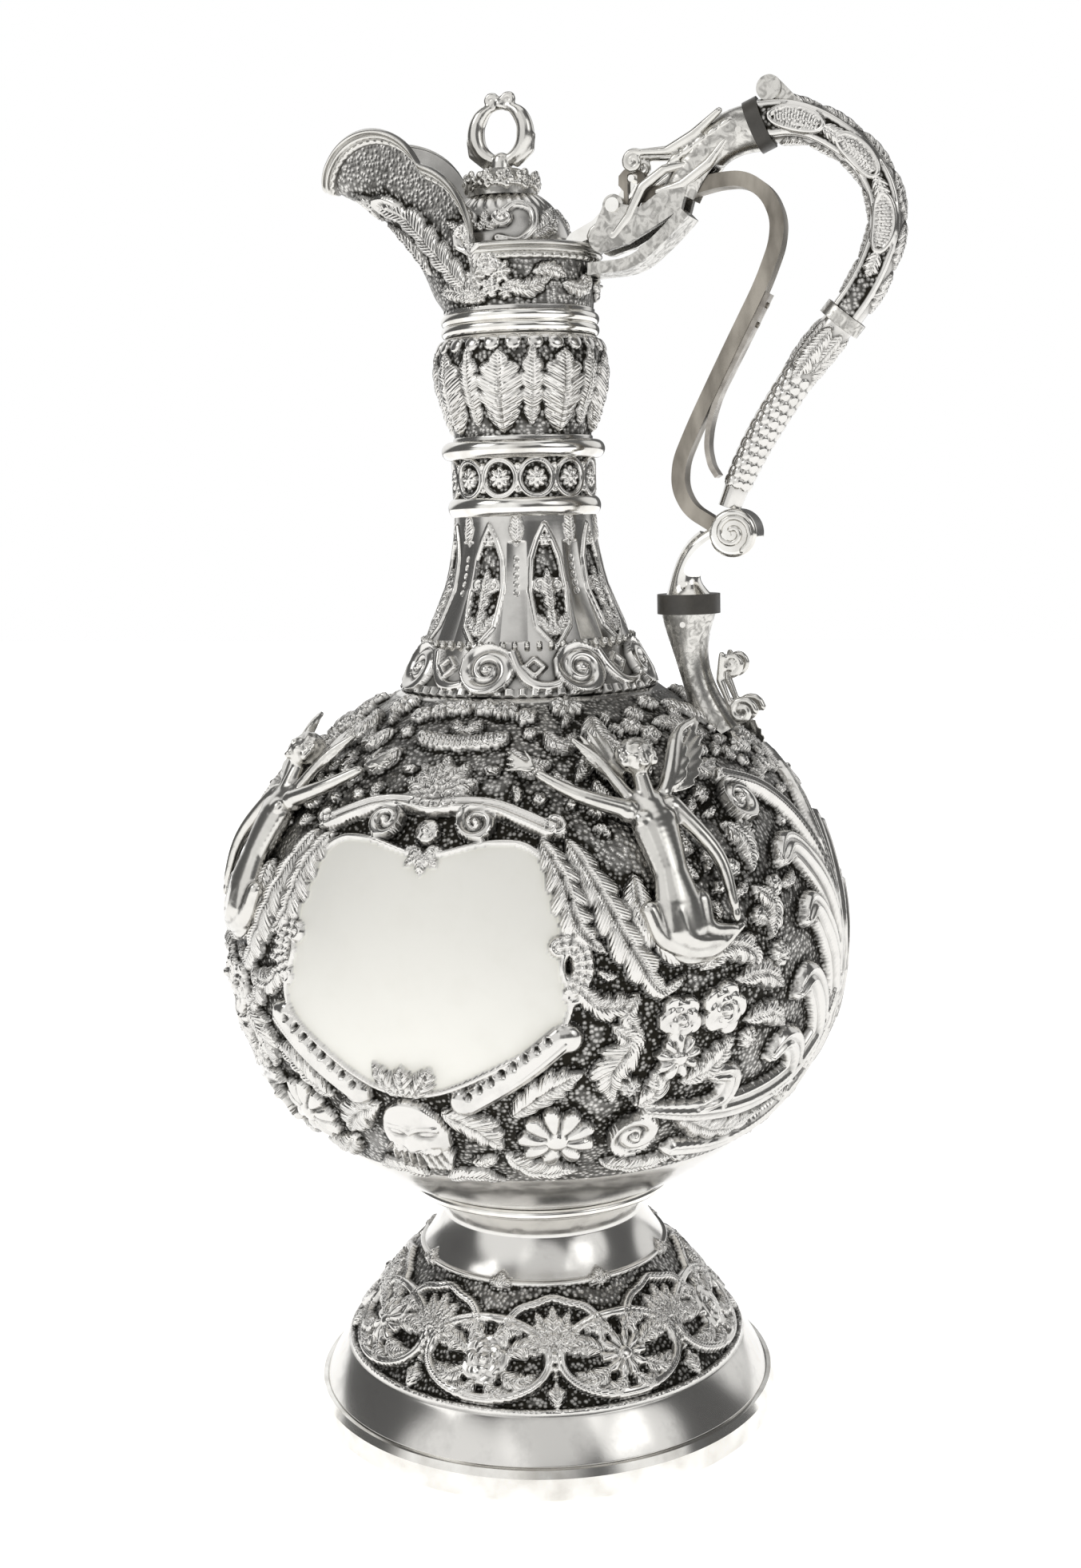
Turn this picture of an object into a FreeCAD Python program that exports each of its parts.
# Claret jug in embossed silver: foot, body, neck, spout, hinged lid, insulated handle and squeeze lever.
# Millimetres. +Z is up, the origin is on the table under the jug's axis, and the handle lies along +X.
import FreeCAD, Part
import math
import os
import re
import Sketcher
from FreeCAD import Matrix, Placement, Rotation, Vector

doc = FreeCAD.newDocument("claret_jug")

# Driving dimensions, one cell each
sizes = {
    "foot_radius": 67.5, "foot_rim_width": 2.2, "foot_rim_height": 9.0, "foot_rim_round": 1.0,
    "foot_wall": 1.0, "flange_radius": 58.0, "flange_height": 20.5, "panel_radius": 39.5,
    "panel_height": 44.0, "waist_radius": 29.4, "waist_height": 58.5, "foot_height": 70.0,
    "seam_height": 2.6, "seam_width": 1.3,
    "body_radius": 87.0, "body_half_height": 78.0, "body_below_share": 0.897436, "body_above_share": 0.910256,
    "body_wall": 0.9,
    "neck_wall": 0.9, "neck_radius": 19.4, "flute_knee_radius": 22.4, "flute_knee_rise": 28.0,
    "flute_height": 49.0, "neck_lip": 3.0, "band_height": 17.0, "bulb_radius": 23.6, "bulb_height": 30.0,
    "ring_height": 5.0, "lower_ring_width": 1.9, "upper_ring_width": 3.3, "ring_fit": 0.05,
    "collar_radius": 20.6, "collar_height": 6.0, "collar_width": 1.2,
    "mouth_radius": 21.8, "mouth_depth": 23.0, "mouth_wall": 0.9, "spout_reach": 37.0, "spout_rise": 21.0,
    "lip_rise": 33.5, "rim_band": 4.4, "rim_thickness": 1.0,
    "seat_drop": 3.0, "seat_thickness": 1.4, "seat_reach": 0.5,
    "lid_clearance": 0.5, "lid_lift": 0.1, "lid_plate_thickness": 1.6, "lid_centre": 4.2, "lid_length": 19.2,
    "lid_breadth": 16.2, "lid_height": 18.6, "lid_wall": 0.8, "bezel_depth": 2.6, "bezel_inset": 2.2,
    "finial_collar_radius": 9.6, "finial_collar_height": 4.6, "finial_loop_radius": 7.4,
    "finial_wire_radius": 2.3, "finial_stem_radius": 1.5, "finial_nut_radius": 3.2, "finial_nut_height": 2.4,
    "hinge_setback": 7.2, "hinge_rise": 9.5, "hinge_pin_radius": 1.1, "hinge_boss_radius": 2.8,
    "knuckle_radius": 2.1, "arm_half_width": 2.7, "pin_clearance": 0.05, "pin_head_radius": 1.9,
    "pin_head_height": 0.7, "cheek_gap": 3.2, "cheek_outer": 5.6,
    "crank_along": 4.4, "crank_up": 6.9, "crank_pin_radius": 0.9, "crank_half_width": 1.3,
    "crank_half_thickness": 1.3, "tine_gap": 1.6,
    "handle_reach": 71.5, "handle_half_width": 4.7, "handle_half_depth": 4.8, "shank_half_depth": 4.0,
    "insulator_half_depth": 7.0, "insulator_half_width": 6.4, "insulator_thickness": 3.8,
    "insulator_tenon_radius": 3.0, "insulator_tenon_length": 5.0, "insulator_pin_radius": 0.8,
    "tenon_clearance": 0.03, "cuff_length": 3.6, "cuff_half_depth": 6.0, "thumb_scroll_radius": 3.2,
    "thumb_scroll_half_width": 4.0,
    "knob_radius": 6.5, "knob_rise": 41.5, "knob_out": 24.5, "knob_half_width": 5.6, "knob_round": 1.4,
    "pivot_back": 1.5, "pivot_drop": 0.5,
    "lower_insulator_radius": 8.6, "lower_insulator_height": 5.3, "lower_insulator_rise": 20.0,
    "lower_socket_radius": 7.4, "lower_socket_out": 10.9,
    "lever_thickness": 3.8, "lever_half_width": 2.8, "lever_eye_radius": 3.5, "lever_pin_radius": 1.3,
    "lever_bar_rise": 2.6, "hook_slack": 0.8, "hook_fit": 0.12,
    "spring_thickness": 1.4, "spring_half_width": 2.4,
    "spring_rivet_radius": 0.8, "strut_thickness": 3.2,
    "figure_head_radius": 5.4, "figure_waist_radius": 6.4, "figure_spread": 43.0, "figure_seat": 0.05,
    "joint_fullness": 1.06,
    "chest_fullness": 1.0, "relief_lift": 2.8, "relief_drift": 3.4, "relief_drift_start": 10.0,
    "relief_drift_height": 45.0, "bar_end_share": 0.55,
    "mask_drop": 37.0, "mask_half_width": 10.5, "mask_half_height": 12.5,
    "lobe_count": 8, "lobe_radius": 11.0, "lobe_lift": 2.2, "lobe_place": 0.45,
    "arch_radius": 7.6, "arch_lift": 1.8, "arch_place": 0.72,
}

sheet = doc.addObject("Spreadsheet::Sheet", "Sizes")
for row, (name, number) in enumerate(sizes.items(), 1):
    sheet.set(f"A{row}", name)
    sheet.set(f"B{row}", str(number))
    sheet.setAlias(f"B{row}", name)
doc.recompute()


def size(name):
    return float(getattr(sheet, name))


def value(expression):
    return float(sheet.evalExpression(expression))


def bound(expression):
    return re.sub(r"[a-z_]+", lambda word: f"Sizes.{word[0]}" if word[0] in sizes else word[0], expression)


# Heights and radii that follow from the driving dimensions
body_below = "(body_below_share*body_half_height)"
body_above = "(body_above_share*body_half_height)"
equator = f"(foot_height + {body_below})"
shoulder = f"({equator} + {body_above})"
flute_top = f"({shoulder} + flute_height)"
band_top = f"({flute_top} + band_height)"
mouth_base = f"({band_top} + bulb_height)"
foot_joint = "(body_radius*sqrt(1 - body_below_share^2))"
neck_joint = "(body_radius*sqrt(1 - body_above_share^2))"
rim = value(f"{mouth_base} + mouth_depth")
hinge = Vector(value("mouth_radius + hinge_setback"), 0, rim + size("hinge_rise"))
crank = hinge + Vector(size("crank_along"), 0, size("crank_up"))
knob = Vector(value(f"{neck_joint} + knob_out"), 0, value(f"{shoulder} + knob_rise"))
lever_pivot = knob - Vector(size("pivot_back"), 0, size("pivot_drop"))
along_y = Vector(0, 1, 0)
drill_reach = 30.0  # half length of a drill that passes right through the handle


def body_radius_at(height):
    share = (height - value(equator)) / size("body_half_height")
    return size("body_radius") * math.sqrt(max(0.0, 1 - share * share))


def sketch_points(outline):
    return [Vector(value(step[0]), value(step[1]), 0) for step in outline]


def pin_point(sketch, geometry, end, step):
    for kind, axis, expression in (("DistanceX", -2, step[0]), ("DistanceY", -1, step[1])):
        amount = value(expression)
        if abs(amount) < 1e-9:
            sketch.addConstraint(Sketcher.Constraint("PointOnObject", geometry, end, axis))
            continue
        index = sketch.addConstraint(Sketcher.Constraint(kind, -1, 1, geometry, end, amount))
        sketch.setExpression(f"Constraints[{index}]", bound(expression))


def draw_outline(sketch, outline):
    # A step with a third entry is a point that the arc between its neighbours passes through
    points = sketch_points(outline)
    corners = [index for index, step in enumerate(outline) if len(step) == 2]
    ends = []
    for order, first in enumerate(corners):
        last = corners[(order + 1) % len(corners)]
        via = first + 1 if last != (first + 1) % len(outline) else None
        if via is None:
            geometry = sketch.addGeometry(Part.LineSegment(points[first], points[last]))
            ends.append((geometry, 1, 2))
            continue
        turn = (points[via] - points[first]).cross(points[last] - points[via]).z
        start, stop = (first, last) if turn > 0 else (last, first)
        geometry = sketch.addGeometry(Part.Arc(points[start], points[via], points[stop]))
        ends.append((geometry, 1, 2) if turn > 0 else (geometry, 2, 1))
        mark = sketch.addGeometry(Part.Point(points[via]), True)
        pin_point(sketch, mark, 1, outline[via])
        sketch.addConstraint(Sketcher.Constraint("PointOnObject", mark, 1, geometry))
    for order, first in enumerate(corners):
        geometry, start, stop = ends[order]
        follower, follower_start, _ = ends[(order + 1) % len(ends)]
        sketch.addConstraint(Sketcher.Constraint("Coincident", geometry, stop, follower, follower_start))
        pin_point(sketch, geometry, start, outline[first])


def turned(label, outline):
    body = doc.addObject("PartDesign::Body", label)
    sketch = body.newObject("Sketcher::SketchObject", label + "_outline")
    plane = next(item for item in body.Origin.OriginFeatures if item.Role == "XZ_Plane")
    sketch.AttachmentSupport = [(plane, "")]
    sketch.MapMode = "FlatFace"
    draw_outline(sketch, outline)
    revolution = body.newObject("PartDesign::Revolution", label + "_turn")
    revolution.Profile = sketch
    revolution.ReferenceAxis = (sketch, ["V_Axis"])
    revolution.Angle = 360
    body.Tip = revolution
    return body


def shell(outer, wall, first_normal=(1, 0)):
    # Closes an outer profile with an inner one, a wall thickness inside it
    points = sketch_points(outer)
    inner = []
    for index, step in enumerate(outer):
        tangent = points[min(index + 1, len(outer) - 1)] - points[max(index - 1, 0)]
        normal = (tangent.y / tangent.Length, -tangent.x / tangent.Length)
        normal = first_normal if index == 0 else (1, 0) if index == len(outer) - 1 else normal
        moved = [f"{place} + ({-part:.3f})*{wall}" for place, part in zip(step, normal)]
        inner.append((*moved, *step[2:]))
    return outer + inner[::-1]


def half_round(label, bore, base, height, width):
    return turned(label, [
        (bore, base), (f"{bore} + 0.3*{width}", base),
        (f"{bore} + {width}", f"{base} + {height}/2", "via"),
        (f"{bore} + 0.3*{width}", f"{base} + {height}"), (bore, f"{base} + {height}")])


def solid_piece(label, shape):
    piece = doc.addObject("Part::Feature", label)
    piece.Shape = shape.Solids[0] if len(shape.Solids) == 1 else shape
    return piece


def cut_all(shape, tools):
    for tool in tools:
        shape = shape.cut(tool)
    return shape


def largest(shape):
    return max(shape.Solids, key=lambda item: item.Volume)


def primitive(kind, label, place=None, **expressions):
    piece = doc.addObject(kind, label)
    for name, expression in expressions.items():
        piece.setExpression(name, bound(expression))
    for axis, expression in (place or {}).items():
        piece.setExpression(f"Placement.Base.{axis}", bound(expression))
    return piece


def boolean(kind, label, base, tool):
    piece = doc.addObject(kind, label)
    piece.Base = base
    piece.Tool = tool
    return piece


def ellipsoid(label, place, half_height, half_length, half_breadth):
    piece = primitive("Part::Ellipsoid", label, place, Radius1=half_height, Radius2=half_length,
                      Radius3=half_breadth)
    piece.Angle1 = -90
    piece.Angle2 = 90
    piece.Angle3 = 360
    return piece


def rod(start, stop, radius):
    axis = stop - start
    return Part.makeCylinder(radius, axis.Length, start, axis)


def cross_rod(centre, radius, half_length):
    return rod(centre - along_y * half_length, centre + along_y * half_length, radius)


def heading(degrees):
    return Vector(math.cos(math.radians(degrees)), 0, math.sin(math.radians(degrees)))


def oval(centre, degrees, half_depth, half_width):
    # Ellipse square to a direction in the handle's plane
    ahead = heading(degrees)
    up = heading(degrees + 90)
    frame = Matrix(up.x * half_depth, 0, ahead.x, centre.x, 0, half_width, 0, centre.y,
                   up.z * half_depth, 0, ahead.z, centre.z, 0, 0, 0, 1)
    return Part.Wire(Part.makeCircle(1).transformGeometry(frame).Edges)


def loft(sections):
    return Part.makeLoft([oval(*section) for section in sections], True)


def oval_disc(centre, degrees, half_depth, half_width, thickness):
    face = Part.Face(oval(centre, degrees, half_depth, half_width))
    return face.extrude(heading(degrees) * thickness)


def rounded_path(points):
    # Straight runs joined by tangent arcs, as large as the shorter run allows
    edges = []
    start = points[0]
    for before, corner, after in zip(points, points[1:], points[2:]):
        back = (before - corner).normalize()
        ahead = (after - corner).normalize()
        reach = 0.45 * min((before - corner).Length, (after - corner).Length)
        half_turn = back.getAngle(ahead) / 2
        bisector = (back + ahead).normalize()
        radius = reach * math.tan(half_turn)
        middle = corner + bisector * (reach / math.cos(half_turn) - radius)
        edges.append(Part.LineSegment(start, corner + back * reach).toShape())
        edges.append(Part.Arc(corner + back * reach, middle, corner + ahead * reach).toShape())
        start = corner + ahead * reach
    edges.append(Part.LineSegment(start, points[-1]).toShape())
    return Part.Wire(edges)


def strap(points, thickness, half_width):
    # Flat bar along a path in the handle's plane
    path = rounded_path(points)
    ahead = (points[1] - points[0]).normalize()
    up = along_y.cross(ahead)
    corners = [points[0] + up * (thickness / 2 * side_up) + along_y * (half_width * side)
               for side_up, side in ((-1, -1), (1, -1), (1, 1), (-1, 1))]
    sweep = Part.BRepOffsetAPI.MakePipeShell(path)
    sweep.setBiNormalMode(along_y)
    sweep.add(Part.makePolygon(corners + corners[:1]))
    sweep.build()
    sweep.makeSolid()
    return sweep.shape()


def steps_from(marks, steps):
    # Each step: the mark and the offset along X, then the mark and the offset in height
    return [(marks[across] + out, marks[level] + up) for across, out, level, up in steps]


def run_point(start, run, across, along):
    return start + Vector(across * run.x, 0, along * run.z)


def plate(points, half_width):
    # Flat piece in the handle's plane, the same to both sides of it
    corners = [Vector(x, -half_width, z) for x, z in points]
    face = Part.Face(Part.makePolygon(corners + corners[:1]))
    return face.extrude(along_y * (2 * half_width))


def make_foot():
    edge = "(foot_radius - foot_rim_width)"
    turned("foot_rim", [
        (edge, "0"), ("foot_radius - foot_rim_round", "0"), ("foot_radius", "foot_rim_round"),
        ("foot_radius", "foot_rim_height - 2*foot_rim_round"),
        ("foot_radius - foot_rim_round", "foot_rim_height"), (edge, "foot_rim_height")])
    lip = "(foot_height - seam_height)"
    profile = [
        (edge, "foot_rim_height"),
        (f"flange_radius + 0.6*({edge} - flange_radius)",
         "foot_rim_height + 0.46*(flange_height - foot_rim_height)", "via"),
        ("flange_radius", "flange_height"),
        ("panel_radius", "panel_height"),
        ("waist_radius + 0.3*(panel_radius - waist_radius)",
         "panel_height + 0.57*(waist_height - panel_height)", "via"),
        ("waist_radius", "waist_height"),
        (f"waist_radius + 0.3*({foot_joint} - waist_radius)",
         f"waist_height + 0.6*({lip} - waist_height)", "via"),
        (foot_joint, lip),
        (foot_joint, "foot_height")]
    turned("foot", shell(profile, "foot_wall", first_normal=(0, 1)))
    half_round("seam_ring", foot_joint, lip, "seam_height", "seam_width")


def make_body():
    centre = {"z": equator}
    outer = ellipsoid("body_outside", centre, "body_half_height", "body_radius", "body_radius")
    inner = ellipsoid("body_inside", centre, "body_half_height - body_wall", "body_radius - body_wall",
                      "body_radius - body_wall")
    wall = boolean("Part::Cut", "body_wall_all_round", outer, inner)
    span = primitive("Part::Cylinder", "body_span", {"z": "foot_height"}, Radius="2*body_radius",
                     Height=f"{body_below} + {body_above}")
    boolean("Part::Common", "body", wall, span)


def make_neck():
    lip = f"({flute_top} - neck_lip)"
    knee = f"({shoulder} + flute_knee_rise)"
    turned("lower_neck", shell([
        (neck_joint, shoulder),
        (f"0.5*(flute_knee_radius + {neck_joint})", f"{shoulder} + 0.46*flute_knee_rise", "via"),
        ("flute_knee_radius", knee),
        ("neck_radius + 0.3*(flute_knee_radius - neck_radius)", f"0.5*({knee} + {lip})", "via"),
        ("neck_radius", lip),
        ("neck_radius", flute_top)], "neck_wall"))
    inside = "(neck_radius - neck_wall)"
    turned("neck_band", [(inside, flute_top), ("neck_radius", flute_top), ("neck_radius", band_top),
                         (inside, band_top)])
    bore = "(neck_radius + ring_fit)"
    half_round("neck_ring_lower", bore, f"({flute_top} - 0.3*ring_height)", "ring_height",
               "lower_ring_width")
    half_round("neck_ring_upper", bore, f"({band_top} - 0.6*ring_height)", "ring_height",
               "upper_ring_width")
    swell = "(bulb_radius - neck_radius)"
    turned("neck_bulb", shell([
        ("neck_radius", band_top),
        ("neck_radius", f"{band_top} + neck_lip"),
        (f"neck_radius + 0.16*{swell}", f"{band_top} + 0.26*bulb_height", "via"),
        (f"neck_radius + 0.52*{swell}", f"{band_top} + 0.41*bulb_height"),
        (f"neck_radius + 0.9*{swell}", f"{band_top} + 0.58*bulb_height", "via"),
        ("bulb_radius", f"{band_top} + 0.75*bulb_height"),
        ("collar_radius + 0.75*(bulb_radius - collar_radius)", f"{band_top} + 0.9*bulb_height", "via"),
        ("collar_radius", mouth_base)], "neck_wall"))
    bore = "(collar_radius + ring_fit)"
    crest = f"{bore} + collar_width"
    root = f"{bore} + 0.3*collar_width"
    turned("collar_ring", [
        (bore, mouth_base), (root, mouth_base), (crest, f"{mouth_base} + 0.25*collar_height", "via"),
        (root, f"{mouth_base} + 0.5*collar_height"), (crest, f"{mouth_base} + 0.75*collar_height", "via"),
        (root, f"{mouth_base} + collar_height"), (bore, f"{mouth_base} + collar_height")])


# The mouth: round at the back, drawn out to a spout in front
# Each row: share of the depth below the rim or of the spout's rise above it, share of the reach
mouth_rows_below = [(0.0, 0.0), (0.26, 0.0), (0.5, 0.1), (0.74, 0.17), (1.0, 0.255)]
spout_rows_above = [(0.38, 0.43), (0.67, 0.62), (0.95, 0.91), (1.3, 1.16), (1.75, 1.42)]


# Shares of the radius for the roundness of the spout's nose and of its flanks, and what the reach takes off
nose_round, nose_taper, nose_least = 0.55, 0.3, 0.2
flank_round, flank_taper = 0.55, 0.12


def mouth_outline(height, reach, radius, offset):
    radius += offset
    front = -(size("collar_radius") + reach * size("spout_reach") + offset)
    nose = max(nose_round - nose_taper * reach, nose_least) * radius
    flank = flank_round - flank_taper * min(reach, 1.0)
    side = Vector(0, radius, height)
    back = Vector(radius, 0, height)
    bow = radius * math.sqrt(0.5)
    tip = Vector(front, 0, height)
    edges = []
    for sign in (1, -1):
        quarter = Part.Arc(Vector(0, radius * sign, height), Vector(bow, bow * sign, height), back)
        flare = Part.BezierCurve()
        flare.setPoles([Vector(0, side.y * sign, height), Vector(-flank * radius, side.y * sign, height),
                        Vector(front, nose * sign, height), tip])
        edges.append((quarter.toShape(), flare.toShape()))
    (right, left), (right_back, left_back) = edges
    return Part.Wire([right, left, left_back, right_back])


def mouth_form(offset):
    sections = []
    flare = size("mouth_radius") - size("collar_radius")
    for share, reach in mouth_rows_below:
        height = rim - size("mouth_depth") * (1 - share)
        radius = size("collar_radius") + flare * min(1.0, 4 * reach)
        sections.append(mouth_outline(height, reach, radius, offset))
    for share, reach in spout_rows_above:
        height = rim + size("spout_rise") * share
        sections.append(mouth_outline(height, reach, size("mouth_radius"), offset))
    return Part.makeLoft(sections, True)


# The lip line: place along X, share of the lip's rise, and how far each follows the rim band down
notch_x, notch_share, notch_follow = -21.5, 0.67, 1.15
lobe_x, lobe_lean = -5.0, 0.9
lobe_top_x, lobe_top_share, lobe_top_follow = -11.5, 0.48, 0.6
nose_follow = 1.25
beyond_nose = Vector(-30, 0, -12)


def under_lip(drop):
    # Space under the lip line: level at the back, a lobe, then the arch of the spout
    base = rim - size("mouth_depth") - 1
    level = rim - drop
    tip = rim + size("spout_rise")
    crest = rim + size("lip_rise")
    notch = Vector(notch_x, 0, rim + notch_share * size("lip_rise") - notch_follow * drop)
    lobe_start = Vector(lobe_x - lobe_lean * drop, 0, level)
    lobe_middle = Vector(lobe_top_x - lobe_lean * drop, 0,
                         rim + lobe_top_share * size("lip_rise") - lobe_top_follow * drop)
    nose = Vector(-(size("collar_radius") + size("spout_reach")), 0, tip - drop * nose_follow)
    arch_middle = Vector(0.5 * (nose.x + notch.x), 0, crest - drop)
    far_back = Vector(2 * size("mouth_radius"), 0, level)
    far_front = nose + beyond_nose
    floor_front = Vector(far_front.x, 0, base)
    floor_back = Vector(far_back.x, 0, base)
    edges = [
        Part.LineSegment(far_back, lobe_start).toShape(),
        Part.Arc(lobe_start, lobe_middle, notch).toShape(),
        Part.Arc(notch, arch_middle, nose).toShape(),
        Part.LineSegment(nose, far_front).toShape(),
        Part.LineSegment(far_front, floor_front).toShape(),
        Part.LineSegment(floor_front, floor_back).toShape(),
        Part.LineSegment(floor_back, far_back).toShape()]
    face = Part.Face(Part.Wire(edges))
    half_width = 2 * size("mouth_radius")
    face.translate(along_y * -half_width)
    return face.extrude(along_y * (2 * half_width))


mouth_outside = mouth_form(0)
mouth_inside = mouth_form(-size("mouth_wall"))
rim_outside = mouth_form(size("rim_thickness"))


def lid_oval(growth, base, height):
    # Upright oval block of the lid's plan
    centre = Vector(-size("lid_centre"), 0, base)
    frame = Matrix(size("lid_length") + growth, 0, 0, centre.x, 0, size("lid_breadth") + growth, 0, 0,
                   0, 0, 1, centre.z, 0, 0, 0, 1)
    wire = Part.Wire(Part.makeCircle(1).transformGeometry(frame).Edges)
    return Part.Face(wire).extrude(Vector(0, 0, height))


def make_mouth():
    solid_piece("mouth", mouth_outside.cut(mouth_inside).common(under_lip(0)))
    band = under_lip(0).cut(under_lip(size("rim_band")))
    solid_piece("mouth_rim", rim_outside.cut(mouth_outside).common(band))
    seat_base = rim - size("seat_drop") - size("seat_thickness")
    half = value("collar_radius + 2*spout_reach")
    slab = Part.makeBox(2 * half, 2 * half, size("seat_thickness"), Vector(-half, -half, seat_base))
    opening = lid_oval(-size("seat_reach"), seat_base - 1, size("seat_thickness") + 2)
    solid_piece("lid_seat", mouth_inside.common(slab).cut(opening))


lid_base = rim - size("seat_drop") + size("lid_lift")
lid_top = lid_base + size("lid_plate_thickness")


def lid_axis(expression):
    return {"x": "-lid_centre", "z": expression}


def make_lid():
    gap = size("mouth_wall") + size("lid_clearance")
    outline = mouth_outline(lid_base, mouth_rows_below[-2][1], size("collar_radius") + 0.7, -gap)
    blank = Part.Face(outline).extrude(Vector(0, 0, size("lid_plate_thickness")))
    hole = lid_oval(-size("bezel_inset") - size("lid_wall"), lid_base - 1, size("lid_plate_thickness") + 2)
    solid_piece("lid_plate", blank.cut(hole))
    ring = lid_oval(-size("bezel_inset"), lid_base - size("bezel_depth"), size("bezel_depth"))
    bore = lid_oval(-size("bezel_inset") - size("lid_wall"), lid_base - size("bezel_depth") - 1,
                    size("bezel_depth") + 2)
    solid_piece("lid_bezel", ring.cut(bore))
    top = f"({mouth_base} + mouth_depth - seat_drop + lid_lift + lid_plate_thickness)"
    outer = ellipsoid("lid_outside", lid_axis(top), "lid_height", "lid_length", "lid_breadth")
    inner = ellipsoid("lid_inside", lid_axis(top), "lid_height - lid_wall", "lid_length - lid_wall",
                      "lid_breadth - lid_wall")
    hollow = boolean("Part::Cut", "lid_hollow", outer, inner)
    above = primitive("Part::Cylinder", "lid_above", lid_axis(top), Radius="2*lid_length",
                      Height="2*lid_height")
    dome = boolean("Part::Common", "lid_dome_whole", hollow, above)
    stem_hole = primitive("Part::Cylinder", "lid_stem_hole", lid_axis(top),
                          Radius="finial_stem_radius + pin_clearance", Height="2*lid_height")
    boolean("Part::Cut", "lid_dome", dome, stem_hole)
    crown = f"({top} + lid_height)"
    make_finial(crown)


def make_finial(crown):
    bore = "(finial_stem_radius + pin_clearance)"
    skirt = turned("finial_collar_blank", [
        (bore, f"{crown} - 0.6*finial_collar_height"),
        ("finial_collar_radius", f"{crown} - 0.6*finial_collar_height"),
        ("finial_collar_radius", f"{crown} + 0.35*finial_collar_height"),
        ("0.55*finial_collar_radius", f"{crown} + finial_collar_height"),
        (bore, f"{crown} + finial_collar_height")])
    skirt.setExpression("Placement.Base.x", bound("-lid_centre"))
    boolean("Part::Cut", "finial_collar", skirt, doc.getObject("lid_outside"))
    nut_top = f"({crown} - lid_wall - 0.5*finial_stem_radius)"
    nut = turned("finial_nut", [
        (bore, f"{nut_top} - finial_nut_height"), ("finial_nut_radius", f"{nut_top} - finial_nut_height"),
        ("finial_nut_radius", nut_top), (bore, nut_top)])
    nut.setExpression("Placement.Base.x", bound("-lid_centre"))
    base = value(f"{crown} + finial_collar_height")
    axis_x = -size("lid_centre")
    middle = Vector(axis_x, 0, base + value("finial_loop_radius + finial_wire_radius"))
    loop = Part.makeTorus(size("finial_loop_radius"), size("finial_wire_radius"), middle, along_y)
    foot = Vector(axis_x, 0, value(f"{nut_top} - finial_nut_height"))
    stem = rod(foot, middle - Vector(0, 0, size("finial_loop_radius")), size("finial_stem_radius"))
    seat = Part.makeCone(size("finial_wire_radius") * 1.6, size("finial_wire_radius"),
                         size("finial_wire_radius") * 1.2, Vector(axis_x, 0, base))
    solid_piece("finial_ring", loop.fuse([stem, seat]))


arm_steps = [
    ("edge", -6.5, "lid", 0), ("edge", 0, "lid", 0), ("edge", 0.2, "rim", 1.0), ("hinge", -5, "rim", 2.6),
    ("hinge", -0.6, "pin", -1.9), ("hinge", -1.4, "pin", 1.5), ("hinge", -6.5, "rim", 6.4),
    ("edge", -3, "rim", 3.4)]
arm_setback = 0.3
crank_eye_wall = 0.4


def make_lid_hinge():
    half = size("arm_half_width")
    barrel = cross_rod(hinge, size("knuckle_radius"), half)
    edge = size("collar_radius") - size("mouth_wall") - size("lid_clearance") - arm_setback
    marks = {"edge": edge, "lid": lid_top, "rim": rim, "hinge": hinge.x, "pin": hinge.z}
    arm = plate(steps_from(marks, arm_steps), half)
    crank_block = plate_between(hinge, crank, size("crank_half_thickness"), size("crank_half_width"))
    eye = cross_rod(crank, size("crank_half_thickness") + crank_eye_wall, size("crank_half_width"))
    bore = cross_rod(hinge, value("hinge_pin_radius + pin_clearance"), 2 * half)
    crank_bore = cross_rod(crank, size("crank_pin_radius"), 2 * half)
    dome = ellipsoid_shape(0)
    shape = cut_all(barrel.fuse([arm, crank_block, eye]), [bore, crank_bore, dome])
    solid_piece("lid_hinge_arm", largest(shape))
    solid_piece("crank_pin", cross_rod(crank, size("crank_pin_radius"), size("lever_half_width")))


def plate_between(start, stop, half_thickness, half_width):
    ahead = (stop - start).normalize()
    up = along_y.cross(ahead) * half_thickness
    corners = [start + up, stop + up, stop - up, start - up]
    return plate([(corner.x, corner.z) for corner in corners], half_width)


def ellipsoid_shape(growth):
    blank = Part.makeSphere(1)
    length, breadth = size("lid_length") + growth, size("lid_breadth") + growth
    frame = Matrix(length, 0, 0, -size("lid_centre"), 0, breadth, 0, 0,
                   0, 0, size("lid_height") + growth, lid_top, 0, 0, 0, 1)
    return blank.transformGeometry(frame)


# The handle, in the plane through the jug's axis
insulator_angle = 21.6
insulator = Vector(hinge.x + 0.54 * size("handle_reach"), 0, rim + 27.3)
cuff_angle = -130.0
cuff = Vector(hinge.x + 0.842 * size("handle_reach"), 0, rim - 23.0)


def reach_point(share, rise):
    return Vector(hinge.x + share * size("handle_reach"), 0, rim + rise)


def tenon_holes(centre, degrees, half_thickness, tenon_radius):
    ahead = heading(degrees)
    length = half_thickness + size("insulator_tenon_length") + size("tenon_clearance")
    tenon = rod(centre - ahead * length, centre + ahead * length, tenon_radius + size("tenon_clearance"))
    return [tenon] + [cross_rod(place, size("insulator_pin_radius"), drill_reach)
                      for place in pin_places(centre, degrees, half_thickness)]


def pin_places(centre, degrees, half_thickness):
    offset = heading(degrees) * (half_thickness + 0.55 * size("insulator_tenon_length"))
    return [centre - offset, centre + offset]


upper_half = size("insulator_thickness") / 2
lower_half = size("lower_insulator_height") / 2
lower_insulator = Vector(value(f"{neck_joint} + lower_socket_out"), 0,
                         value(f"{shoulder} + lower_insulator_rise") + lower_half)


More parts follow.
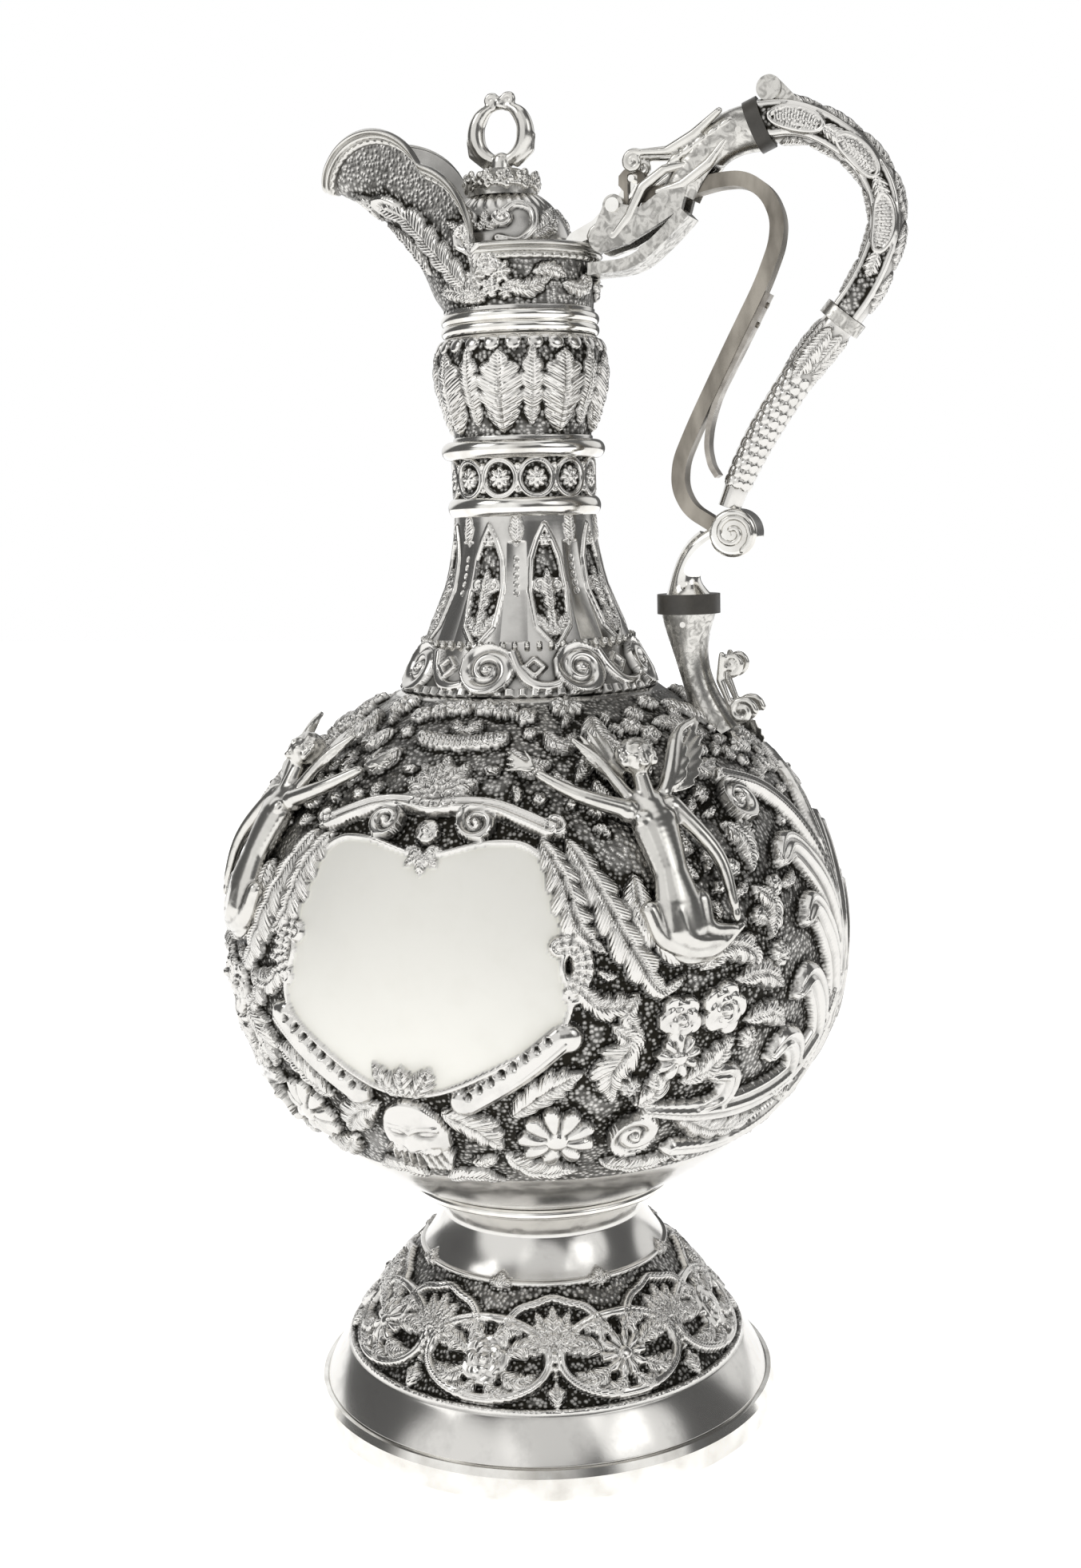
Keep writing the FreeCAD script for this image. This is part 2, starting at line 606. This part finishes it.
def make_insulator(label, centre, degrees, half_thickness, half_depth, half_width):
    ahead = heading(degrees)
    disc = oval_disc(centre - ahead * half_thickness, degrees, half_depth, half_width, 2 * half_thickness)
    length = half_thickness + size("insulator_tenon_length")
    tenon = rod(centre - ahead * length, centre + ahead * length, size("insulator_tenon_radius"))
    holes = [cross_rod(place, size("insulator_pin_radius"), drill_reach)
             for place in pin_places(centre, degrees, half_thickness)]
    solid_piece(label, cut_all(disc.fuse(tenon), holes))


def make_insulator_pins(label, centre, degrees, half_thickness, half_lengths):
    pins = [cross_rod(place, size("insulator_pin_radius"), half_length)
            for place, half_length in zip(pin_places(centre, degrees, half_thickness), half_lengths)]
    solid_piece(label, Part.makeCompound(pins))


bracket_rows = [  # share of the reach, rise over the rim, heading, added half depth
    (0.245, 11.5, 62, 0.8), (0.3, 18.0, 55, 0.8), (0.385, 23.7, 38, 1.0)]
bracket_end_depth = 1.6
volute_radius = 3.6
volute_step = Vector(-3.2, 0, 1.2)
cheek_steps = [
    ("hinge", -2.7, "pin", 0), ("volute", -3.5, "volute_level", 0), ("volute", 0, "volute_level", -3.6),
    ("hinge", 4, "rim", -0.6), ("hinge", 13.5, "rim", 4.2), ("hinge", 18.8, "rim", 7.2),
    ("hinge", 20.5, "rim", 13), ("hinge", 13, "rim", 12), ("hinge", 7.5, "rim", 8.4),
    ("hinge", 2.7, "pin", 0)]
strut_steps = [
    ("mouth", -3, "rim", -6.6), ("hinge", 5, "rim", -6.0), ("hinge", 13.5, "rim", 0.6),
    ("hinge", 19.5, "rim", 6.4)]
slot_start, slot_setback, slot_rise, slot_depth = 10.0, 9.0, 17.8, 30.0


def make_bracket():
    face = insulator - heading(insulator_angle) * upper_half
    depth = size("handle_half_depth")
    width = size("cheek_outer")
    rows = [(reach_point(share, rise), degrees, depth + deeper, width)
            for share, rise, degrees, deeper in bracket_rows]
    arm = loft(rows + [(face, insulator_angle, depth + bracket_end_depth, width)])
    volute = Vector(hinge.x, 0, rim) + volute_step
    marks = {"hinge": hinge.x, "pin": hinge.z, "rim": rim, "mouth": size("mouth_radius"),
             "volute": volute.x, "volute_level": volute.z}
    boss = cross_rod(hinge, size("hinge_boss_radius"), width)
    scroll = cross_rod(volute, volute_radius, width)
    cheek = plate(steps_from(marks, cheek_steps), width)
    slot = Part.makeBox(insulator.x - slot_setback - slot_start, 2 * size("cheek_gap"),
                        slot_rise + slot_depth, Vector(slot_start, -size("cheek_gap"), rim - slot_depth))
    tools = [slot, cross_rod(hinge, size("hinge_pin_radius"), drill_reach), rim_outside]
    tools += tenon_holes(insulator, insulator_angle, upper_half, size("insulator_tenon_radius"))
    bracket = solid_piece("hinge_bracket", cut_all(arm.fuse([boss, scroll, cheek]), tools))
    strut = strap([Vector(x, 0, z) for x, z in steps_from(marks, strut_steps)],
                  size("strut_thickness"), size("cheek_outer"))
    shape = cut_all(strut, [rim_outside, bracket.Shape])
    solid_piece("bracket_strut", largest(shape))
    head = size("pin_head_height")
    pin = cross_rod(hinge, size("hinge_pin_radius"), width + head)
    heads = [rod(hinge + along_y * (side * width), hinge + along_y * (side * (width + head)),
                 size("pin_head_radius")) for side in (-1, 1)]
    solid_piece("hinge_pin", pin.fuse(heads))


# Rows of the grip: share of the reach, rise over the rim, heading, added half depth and half width
crown_start_growth = (1.5, 0.7)
crown_rows = [(0.645, 27.9, 0, 0.9, 0.3), (0.73, 26.3, -19, 0.2, 0), (0.835, 22.0, -36, -0.2, 0)]
crest_row = (0.935, 15.2, -55, -0.4, 0)
fall_rows = [(0.99, 7.4, -76, -0.3, 0), (1.0, -1.0, -97, -0.1, 0), (0.963, -9.6, -113, 0, 0),
             (0.908, -17.0, -124, 0, 0)]
thumb_place = (0.585, 35.6)
thumb_leaf = [("x", -0.5, "z", -3), ("x", 2, "z", 2.6), ("x", 8.5, "z", -4.4), ("x", 8.5, "z", -7)]
thumb_leaf_inset = 0.8
# Rows of the shank: shares of its run across and down, heading, added half depth and half width
shank_landing = Vector(-2.6, 0, 5.2)
shank_rows = [(0, 0, cuff_angle, 0.4, 0.5), (0.26, 0.19, -130, 0.2, 0.4), (0.5, 0.4, -126, 0, 0.3),
              (0.7, 0.6, -120, -0.2, 0), (0.86, 0.79, -114, -0.6, -0.2), (1, 1, -108, -1.0, -0.6)]


def grip_section(share, rise, degrees, deeper, wider):
    return (reach_point(share, rise), degrees, size("handle_half_depth") + deeper,
            size("handle_half_width") + wider)


def make_handle():
    start = insulator + heading(insulator_angle) * upper_half
    stop = cuff - heading(cuff_angle) * (size("cuff_length") / 2)
    depth = size("handle_half_depth")
    width = size("handle_half_width")
    deeper, wider = crown_start_growth
    crest = grip_section(*crest_row)
    crown_sections = [grip_section(*row) for row in crown_rows]
    crown = loft([(start, insulator_angle, depth + deeper, width + wider)] + crown_sections + [crest])
    fall_sections = [grip_section(*row) for row in fall_rows]
    fall = loft([crest] + fall_sections + [(stop, cuff_angle, depth, width)])
    holes = tenon_holes(insulator, insulator_angle, upper_half, size("insulator_tenon_radius"))
    solid_piece("handle_bow", cut_all(crown, holes).fuse(fall))
    scroll_centre = reach_point(*thumb_place)
    scroll = cross_rod(scroll_centre, size("thumb_scroll_radius"), size("thumb_scroll_half_width"))
    marks = {"x": scroll_centre.x, "z": scroll_centre.z}
    leaf = plate(steps_from(marks, thumb_leaf), size("thumb_scroll_half_width") - thumb_leaf_inset)
    disc = oval_disc(insulator - heading(insulator_angle) * upper_half, insulator_angle,
                     size("insulator_half_depth"), size("insulator_half_width"), 2 * upper_half)
    shape = cut_all(scroll.fuse(leaf), [crown, disc])
    solid_piece("thumb_scroll", largest(shape))
    solid_piece("handle_cuff", oval_disc(stop, cuff_angle, size("cuff_half_depth"), size("cuff_half_depth"),
                                         size("cuff_length")))
    begin = cuff + heading(cuff_angle) * (size("cuff_length") / 2)
    depth = size("shank_half_depth")
    run = knob + shank_landing - begin
    shank = loft([(run_point(begin, run, across, along), degrees, depth + deeper, depth + wider)
                  for across, along, degrees, deeper, wider in shank_rows])
    solid_piece("handle_shank", shank.cut(knob_form()))


def knob_form():
    disc = cross_rod(knob, size("knob_radius"), size("knob_half_width"))
    return disc.makeFillet(size("knob_round"), [edge for edge in disc.Edges if len(edge.Vertexes) == 1])


# Rows of the knob's stem and of the lower socket: shares of the run across and up, heading, half depth
# and half width
stem_rows = [(-0.05, 0.25, 88, 4.0, 4.2), (0.06, 0.52, 62, 3.7, 4.2), (0.3, 0.78, 42, 3.8, 4.4),
             (0.78, 0.99, 18, 3.9, 4.6)]
socket_rows = [(0.12, 0.4, -80, 4.4, 4.6), (0.42, 0.66, -68, 4.4, 4.8), (0.85, 0.92, -62, 5.8, 5.6),
               (1, 1, -60, 6.4, 6.0)]
stem_inset, socket_inset = 1.4, 1.3
socket_inset_place = (-0.02, 0.14)
socket_out, socket_sink = 8.5, 2.5
eye_clearance, channel_inset = 0.7, 0.6
channel_step = Vector(-18, 0, 11.5)
pivot_head = 0.4


def run_sections(start, run, rows):
    return [(run_point(start, run, across, along), *section) for across, along, *section in rows]


def make_knob():
    top = lower_insulator + Vector(0, 0, lower_half)
    run = knob - top
    radius = size("lower_socket_radius") - stem_inset
    stem = loft([(top, 90, radius, radius)] + run_sections(top, run, stem_rows))
    eye_room = size("lever_eye_radius") + eye_clearance
    pocket = cross_rod(lever_pivot, eye_room, size("cheek_gap"))
    channel = plate_between(lever_pivot, lever_pivot + channel_step, eye_room - channel_inset,
                            size("cheek_gap"))
    pin_hole = cross_rod(lever_pivot, size("lever_pin_radius"), drill_reach)
    tools = [pocket, channel, pin_hole]
    tools += tenon_holes(lower_insulator, 90, lower_half, size("insulator_tenon_radius"))
    shape = cut_all(knob_form().fuse(stem), tools)
    solid_piece("handle_knob", largest(shape))
    solid_piece("lever_pivot_pin", cross_rod(lever_pivot, size("lever_pin_radius"),
                                             size("knob_half_width") + pivot_head))


def make_lower_socket():
    top = lower_insulator - Vector(0, 0, lower_half)
    landing_x = top.x + socket_out
    run = Vector(landing_x, 0, shoulder_height(landing_x) - socket_sink) - top
    radius = size("lower_socket_radius")
    throat = radius - socket_inset
    collar = run_point(top, run, *socket_inset_place)
    socket = loft([(top, -90, radius, radius), (collar, -90, throat, throat)]
                  + run_sections(top, run, socket_rows))
    holes = tenon_holes(lower_insulator, 90, lower_half, size("insulator_tenon_radius"))
    shape = cut_all(socket, [body_solid(0)] + holes)
    solid_piece("lower_socket", largest(shape))


def shoulder_height(radius):
    share = radius / size("body_radius")
    return value(equator) + size("body_half_height") * math.sqrt(1 - share * share)


def body_solid(growth):
    frame = Matrix(size("body_radius") + growth, 0, 0, 0, 0, size("body_radius") + growth, 0, 0,
                   0, 0, size("body_half_height") + growth, value(equator), 0, 0, 0, 1)
    return Part.makeSphere(1).transformGeometry(frame)


# The lever, from its hook over the crank pin, round the inside of the grip, to its eye in the knob
def blend(share, offset):
    # Point between the lever's eye and the level of the rim
    low = lever_pivot
    return Vector(low.x + offset, 0, low.z + share * (rim - low.z))


hook_wall = 1.5
lever_bar_steps = [(0.24, -0.2), (0.385, 2.0), (0.49, 2.0)]  # share of the reach, rise over the bar's start
lever_bend_steps = [(0.575, 9.6), (0.612, 3.2)]  # share of the reach, rise over the rim
lever_fall_steps = [  # share of the height over the eye, offset along X
    (0.96, 13.2), (0.835, 9.4), (0.617, 0.3), (0.38, -9.2), (0.255, -13.6), (0.165, -14.0), (0.088, -11.0)]
spring_bed_steps = lever_fall_steps[1:3]
spring_steps = [(0.47, -3.1), (0.375, -5.4), (0.3, -6.1), (0.235, -5.0), (0.2, -3.2)]
spring_inset, spring_bed_share = 1.5, 0.86
rivet_start, rivet_step, rivet_head = 4.5, 5.5, 0.5


def lever_route():
    bar = size("hinge_rise") + size("lever_bar_rise")
    hook_end = crank.x + size("crank_pin_radius") + size("hook_slack") + hook_wall
    top = [reach_point(share, bar + rise) for share, rise in lever_bar_steps]
    bend = [reach_point(*step) for step in lever_bend_steps]
    fall = [blend(*step) for step in lever_fall_steps]
    return [Vector(hook_end, 0, rim + bar)] + top + bend + fall + [lever_pivot]


# The lever's head round the crank pin, and the slot in it
lever_head_steps = [
    ("inner", -1.0, "hinge", 0.2), ("inner", -1.1, "crank", -3.2), ("inner", -2.5, "crank", -1.6),
    ("inner", -2.4, "crank", 0.8), ("inner", -0.9, "crank", 2.3), ("outer", -0.4, "crank", 2.5),
    ("outer", 1.4, "crank", 1.2), ("outer", 2.4, "crank", -1.6), ("outer", 2.4, "hinge", 0.7),
    ("inner", 0, "hinge", 0.2)]
lever_slot_steps = [
    ("inner", 0, "hinge", -3), ("inner", 0, "slot", 0), ("inner", 0.8, "slot", 0.5),
    ("outer", -0.8, "slot", 0.5), ("outer", 0, "slot", 0), ("outer", 0, "hinge", -3)]
fork_start, fork_reach, fork_drop, fork_height = 10.0, 6.5, 30.0, 40.0


def make_lever():
    route = lever_route()
    bar = strap(route, size("lever_thickness"), size("lever_half_width"))
    eye = cross_rod(lever_pivot, size("lever_eye_radius"), size("lever_half_width"))
    pin = size("crank_pin_radius")
    inner = crank.x - pin - size("hook_fit")
    outer = crank.x + pin + size("hook_slack")
    marks = {"inner": inner, "outer": outer, "hinge": hinge.z, "crank": crank.z, "slot": crank.z + pin}
    head = plate(steps_from(marks, lever_head_steps), size("lever_half_width"))
    slot = plate(steps_from(marks, lever_slot_steps), drill_reach)
    fork = Part.makeBox(crank.x + fork_reach - fork_start, 2 * size("tine_gap"), fork_height,
                        Vector(fork_start, -size("tine_gap"), crank.z - fork_drop))
    bore = cross_rod(lever_pivot, value("lever_pin_radius + pin_clearance"), drill_reach)
    shape = cut_all(bar.fuse([eye, head]), [slot, fork, bore] + rivet_rods())
    solid_piece("squeeze_lever", largest(shape))


def spring_route():
    upper, lower = [blend(*step) for step in spring_bed_steps]
    ahead = (lower - upper).normalize()
    out = Vector(-ahead.z, 0, ahead.x) * (value("lever_thickness + spring_thickness") / 2)
    first = upper + ahead * spring_inset + out
    leave = upper + (lower - upper) * spring_bed_share + out
    return [first, leave] + [blend(*step) for step in spring_steps]


def rivet_rods():
    upper, lower = [blend(*step) for step in spring_bed_steps]
    ahead = (lower - upper).normalize()
    out = Vector(-ahead.z, 0, ahead.x)
    start = -size("lever_thickness") / 4
    stop = size("lever_thickness") / 2 + size("spring_thickness") + rivet_head
    places = [upper + ahead * (rivet_start + rivet_step * index) for index in range(2)]
    return [rod(place + out * start, place + out * stop, size("spring_rivet_radius"))
            for place in places]


def make_spring():
    spring = strap(spring_route(), size("spring_thickness"), size("spring_half_width"))
    lever = doc.getObject("squeeze_lever").Shape
    solid_piece("leaf_spring", largest(cut_all(spring, rivet_rods() + [lever])))
    solid_piece("spring_rivets", Part.makeCompound(rivet_rods()))


# Winged half figures on the shoulder of the body
def on_body(degrees, height, proud):
    radius = body_radius_at(height) + proud
    angle = math.radians(degrees)
    return Vector(radius * math.cos(angle), radius * math.sin(angle), height)


def limb(start, stop, start_radius, stop_radius):
    # Tapered bar with round ends, the first one a little fuller than the bar before it
    axis = stop - start
    first = start_radius * size("joint_fullness")
    half = math.sqrt(0.5)
    heel, toe = Vector(0, 0, -first), Vector(0, 0, axis.Length + stop_radius)
    near, far = Vector(first, 0, 0), Vector(stop_radius, 0, axis.Length)
    near_round = Vector(first * half, 0, -first * half)
    far_round = Vector(stop_radius * half, 0, axis.Length + stop_radius * half)
    edges = [Part.Arc(heel, near_round, near).toShape(), Part.LineSegment(near, far).toShape(),
             Part.Arc(far, far_round, toe).toShape(), Part.LineSegment(toe, heel).toShape()]
    bar = Part.Face(Part.Wire(edges)).revolve(Vector(0, 0, 0), Vector(0, 0, 1), 360)
    bar.Placement = Placement(start, Rotation(Vector(0, 0, 1), axis))
    return bar


figure_spots = {  # degrees from the figure's middle, rise over the body's widest level, height off the body
    "head": (-2, 55, 5.2), "neck": (-2, 53, 4.6), "chest": (0, 40, 2.6), "hips": (2, 24, 2.0),
    "tail": (4, 14, 0.8), "train": (11, 14, 0.8),
    "inner_shoulder": (-3, 44, 3.6), "inner_elbow": (-13, 47, 4.0), "inner_hand": (-22, 53, 3.0),
    "outer_shoulder": (5, 42, 3.6), "outer_elbow": (11, 31, 3.6), "outer_hand": (12, 20, 3.4),
    "inner_wing": (-4, 47, 2.4), "inner_wing_tip": (-13, 57, 4.6),
    "outer_wing": (5, 47, 2.4), "outer_wing_tip": (21, 58, 5.0)}
figure_trunk = [  # from, to, and what each end adds to the waist's radius
    ("chest", "hips", 0.8, 0), ("hips", "tail", 0, -1.2), ("tail", "train", -1.6, -3.0)]
figure_limbs = [  # from, to, radii
    ("chest", "neck", 3.0, 2.6), ("inner_shoulder", "inner_elbow", 3.4, 2.8),
    ("inner_elbow", "inner_hand", 2.7, 2.0), ("outer_shoulder", "outer_elbow", 3.4, 2.8),
    ("outer_elbow", "outer_hand", 2.7, 2.1), ("inner_wing", "inner_wing_tip", 4.2, 2.0),
    ("outer_wing", "outer_wing_tip", 5.2, 2.2)]


def figure_form(degrees):
    # The inner arm reaches towards smaller angles, round the front of the body
    level = value(equator)
    waist = size("figure_waist_radius")

    spots = {name: on_body(degrees + turn, level + rise, proud)
             for name, (turn, rise, proud) in figure_spots.items()}
    shapes = [Part.makeSphere(size("figure_head_radius"), spots["head"]),
              Part.makeSphere(waist + size("chest_fullness"), spots["chest"])]
    for first, last, first_growth, last_growth in figure_trunk:
        shapes.append(limb(spots[first], spots[last], waist + first_growth, waist + last_growth))
    for first, last, first_radius, last_radius in figure_limbs:
        shapes.append(limb(spots[first], spots[last], first_radius, last_radius))
    return seated_on_body(shapes)


def make_figures():
    right = figure_form(-90 + size("figure_spread"))
    left = right.mirror(Vector(0, 0, 0), Vector(1, 0, 0))
    behind = Placement(Vector(0, 0, 0), Rotation(Vector(0, 0, 1), 180))
    for index, (form, place) in enumerate([(right, None), (left, None), (right, behind), (left, behind)], 1):
        figure = solid_piece(f"winged_figure_{index}", form)
        if place:
            figure.Placement = place


# Raised ornament. On the body a place is a bearing in degrees from the middle of a shield and a rise over
# the widest level
crest_bars = [  # places, half width
    ([(-11.5, 47.6), (0, 46.4), (11.5, 47.6)], 2.4),
    ([(10.5, 47.8), (17, 45), (23, 42.4)], 3.0),
    ([(-10.5, 47.8), (-17, 45), (-23, 42.4)], 3.0)]
crest_scrolls = [(9.6, 43.2, 4.8), (-9.6, 43.2, 4.8)]  # bearing, rise, radius
basket = ([(-11.5, 60.2), (0, 64.4), (11.5, 60.2)], 2.6)
shield_strap = ([(26.6, -7.4), (20, -15.6), (10.6, -24.6)], 3.6)
acanthus_bars = [
    ([(23.6, 35), (26, 28), (28.6, 18), (31.5, 12.8)], 4.2),
    ([(28.5, 36), (32, 26), (35.4, 13), (40, 4)], 3.8),
    ([(26, 15.5), (27.8, 9.5), (26.8, 3.5)], 2.8)]
plume_bars = [
    ([(43, -31.5), (53, -32.5), (63, -32), (73, -28.5), (80, -19), (83.6, -5), (84.4, 10), (82.6, 25),
      (78, 36), (69, 43)], 5.4),
    ([(83.6, 18), (79, 28), (71.5, 28.5)], 4.2),
    ([(84, 2), (80, 12.5), (74.5, 12.5)], 4.2),
    ([(80.5, -17), (77, -6), (70.5, -5.5)], 4.0),
    ([(73, -28), (71, -21.5), (65, -21.5)], 3.6)]
plume_scrolls = [(41.6, -36, 6.6), (67, 44, 6.2)]
leaf_bars = [
    ([(49, -42.5), (60, -44.5), (73, -40.5)], 3.2),
    ([(37.5, -9.5), (35, -16), (34.5, -22)], 4.0),
    ([(20.5, -26.5), (24.5, -21), (28, -18)], 3.6)]
flowers = [(27, -35.5, 9.2), (54, -4.5, 6.6), (45, -6, 5.4), (49, -16, 5.0), (13.5, -33.5, 5.2)]
crown_flower = (0, 52.2, 4.4)


def framed(first, second, third, centre):
    return Matrix(first.x, second.x, third.x, centre.x, first.y, second.y, third.y, centre.y,
                  first.z, second.z, third.z, centre.z, 0, 0, 0, 1)


def ornament_place(hand, turn, rise):
    # The lower work of each shield stands a little to its left
    low = min(max((size("relief_drift_start") - rise) / size("relief_drift_height"), 0.0), 1.0)
    drift = size("relief_drift") * low * low * (3 - 2 * low)
    return on_body(-90 + hand * turn - drift, value(equator) + rise, 0)


def body_normal(place):
    breadth, height = size("body_radius"), size("body_half_height")
    rise = place.z - value(equator)
    return Vector(place.x / breadth**2, place.y / breadth**2, rise / height**2).normalize()


def low_bar(places, half_width, lift):
    # Rounded bar along the body's surface, slimmer at its ends
    sections = []
    for index, place in enumerate(places):
        ahead = (places[min(index + 1, len(places) - 1)] - places[max(index - 1, 0)]).normalize()
        up = body_normal(place)
        side = up.cross(ahead).normalize()
        share = size("bar_end_share") if index in (0, len(places) - 1) else 1.0
        frame = framed(side * (half_width * share), up * (lift * share), ahead, place)
        sections.append(Part.Wire(Part.makeCircle(1).transformGeometry(frame).Edges))
    return Part.makeLoft(sections, True)


def low_dome(place, up, half_width, half_height, lift):
    side = Vector(0, 0, 1).cross(up).normalize()
    return Part.makeSphere(1).transformGeometry(
        framed(side * half_width, up.cross(side) * half_height, up * lift, place))


def body_bars(hand, bars):
    lift = size("relief_lift")
    return [low_bar([ornament_place(hand, *step) for step in steps], half_width, lift)
            for steps, half_width in bars]


def body_domes(hand, domes):
    forms = []
    for turn, rise, radius in domes:
        place = ornament_place(hand, turn, rise)
        forms.append(low_dome(place, body_normal(place), radius, radius, size("relief_lift")))
    return forms


def seated_on_body(forms):
    # The forms as one shape, down to the body's surface
    whole = forms[0]
    for form in forms[1:]:
        whole = whole.fuse(form)
    return largest(whole.cut(body_solid(size("figure_seat"))))


def make_body_relief():
    # The mask's head fills the room between the ends of the straps, from the shield down to the plain polish
    mask_place = ornament_place(1, 0, -size("mask_drop"))
    mask = low_dome(mask_place, body_normal(mask_place), size("mask_half_width"), size("mask_half_height"),
                    size("relief_lift"))
    crown = seated_on_body(body_domes(1, [crown_flower]))
    front = {
        "shield_crests": [seated_on_body(body_bars(1, crest_bars) + body_domes(1, crest_scrolls))],
        "flower_baskets": [seated_on_body(body_bars(1, [basket])), crown],
        "masks": [seated_on_body([mask])],
        "shield_straps": [], "shield_acanthus": [], "plumes": [], "body_leaves": [], "body_flowers": []}
    for hand in (1, -1):
        front["shield_straps"].append(seated_on_body(body_bars(hand, [shield_strap])))
        front["shield_acanthus"].append(seated_on_body(body_bars(hand, acanthus_bars)))
        front["plumes"].append(seated_on_body(body_bars(hand, plume_bars) + body_domes(hand, plume_scrolls)))
        front["body_leaves"] += [seated_on_body([bar]) for bar in body_bars(hand, leaf_bars)]
        front["body_flowers"] += [seated_on_body([dome]) for dome in body_domes(hand, flowers)]
    for label, shapes in front.items():
        behind = [shape.copy() for shape in shapes]
        for shape in behind:
            shape.rotate(Vector(0, 0, 0), Vector(0, 0, 1), 180)
        solid_piece(label, Part.makeCompound(shapes + behind))


def make_foot_relief():
    run = Vector(value("panel_radius - flange_radius"), 0, value("panel_height - flange_height"))
    flange = Vector(0, 0, size("flange_height"))
    core = Part.makeCone(size("flange_radius"), size("panel_radius"), run.z, flange)
    up = Vector(run.z, 0, -run.x).normalize()
    start = Vector(size("flange_radius"), 0, size("flange_height")) + up * size("figure_seat")
    step = 360 / size("lobe_count")
    for label, share, radius, lift, turn in (
            ("foot_lobes", size("lobe_place"), size("lobe_radius"), size("lobe_lift"), 0),
            ("foot_arches", size("arch_place"), size("arch_radius"), size("arch_lift"), step / 2)):
        dome = low_dome(start + run * share, up, radius, radius, lift).cut(core)
        lobes = []
        for index in range(int(size("lobe_count"))):
            lobe = largest(dome).copy()
            lobe.rotate(Vector(0, 0, 0), Vector(0, 0, 1), turn + index * step)
            lobes.append(lobe)
        solid_piece(label, Part.makeCompound(lobes))


make_foot()
make_body()
make_neck()
make_mouth()
make_lid()
make_lid_hinge()
make_bracket()
make_insulator("upper_insulator", insulator, insulator_angle, upper_half, size("insulator_half_depth"),
               size("insulator_half_width"))
make_insulator_pins("upper_insulator_pins", insulator, insulator_angle, upper_half,
                    (value("cheek_outer + 0.3"), value("handle_half_width + 0.9")))
make_handle()
make_knob()
make_insulator("lower_insulator", lower_insulator, 90, lower_half, size("lower_insulator_radius"),
               size("lower_insulator_radius"))
make_insulator_pins("lower_insulator_pins", lower_insulator, 90, lower_half,
                    (value("lower_socket_radius - 0.6"), value("lower_socket_radius - 2")))
make_lower_socket()
make_lever()
make_spring()
make_figures()
make_body_relief()
make_foot_relief()
doc.recompute()

nodes = [
    "foot_rim", "foot", "seam_ring", "body", "lower_neck", "neck_band", "neck_ring_lower",
    "neck_ring_upper", "neck_bulb", "collar_ring", "mouth", "mouth_rim", "lid_seat",
    "lid_plate", "lid_bezel", "lid_dome", "finial_collar", "finial_nut", "finial_ring", "lid_hinge_arm",
    "crank_pin", "hinge_bracket", "bracket_strut", "hinge_pin", "upper_insulator", "upper_insulator_pins",
    "handle_bow", "thumb_scroll", "handle_cuff", "handle_shank", "handle_knob", "lever_pivot_pin",
    "lower_insulator", "lower_insulator_pins", "lower_socket", "squeeze_lever", "leaf_spring",
    "spring_rivets", "winged_figure_1", "winged_figure_2", "winged_figure_3", "winged_figure_4",
    "shield_crests", "flower_baskets", "masks", "shield_straps", "shield_acanthus", "plumes", "body_leaves",
    "body_flowers", "foot_lobes", "foot_arches"]

for item in doc.Objects:
    if "Invalid" in item.State or "Error" in item.State:
        raise RuntimeError(f"{item.Label} failed: {item.State}")
for label in nodes:
    shape = doc.getObject(label).Shape
    if shape.isNull() or not shape.isValid() or not shape.Solids:
        raise RuntimeError(f"{label} has no valid solid")

os.makedirs("parts", exist_ok=True)
for label in nodes:
    doc.getObject(label).Shape.exportStep(f"parts/{label}.step")
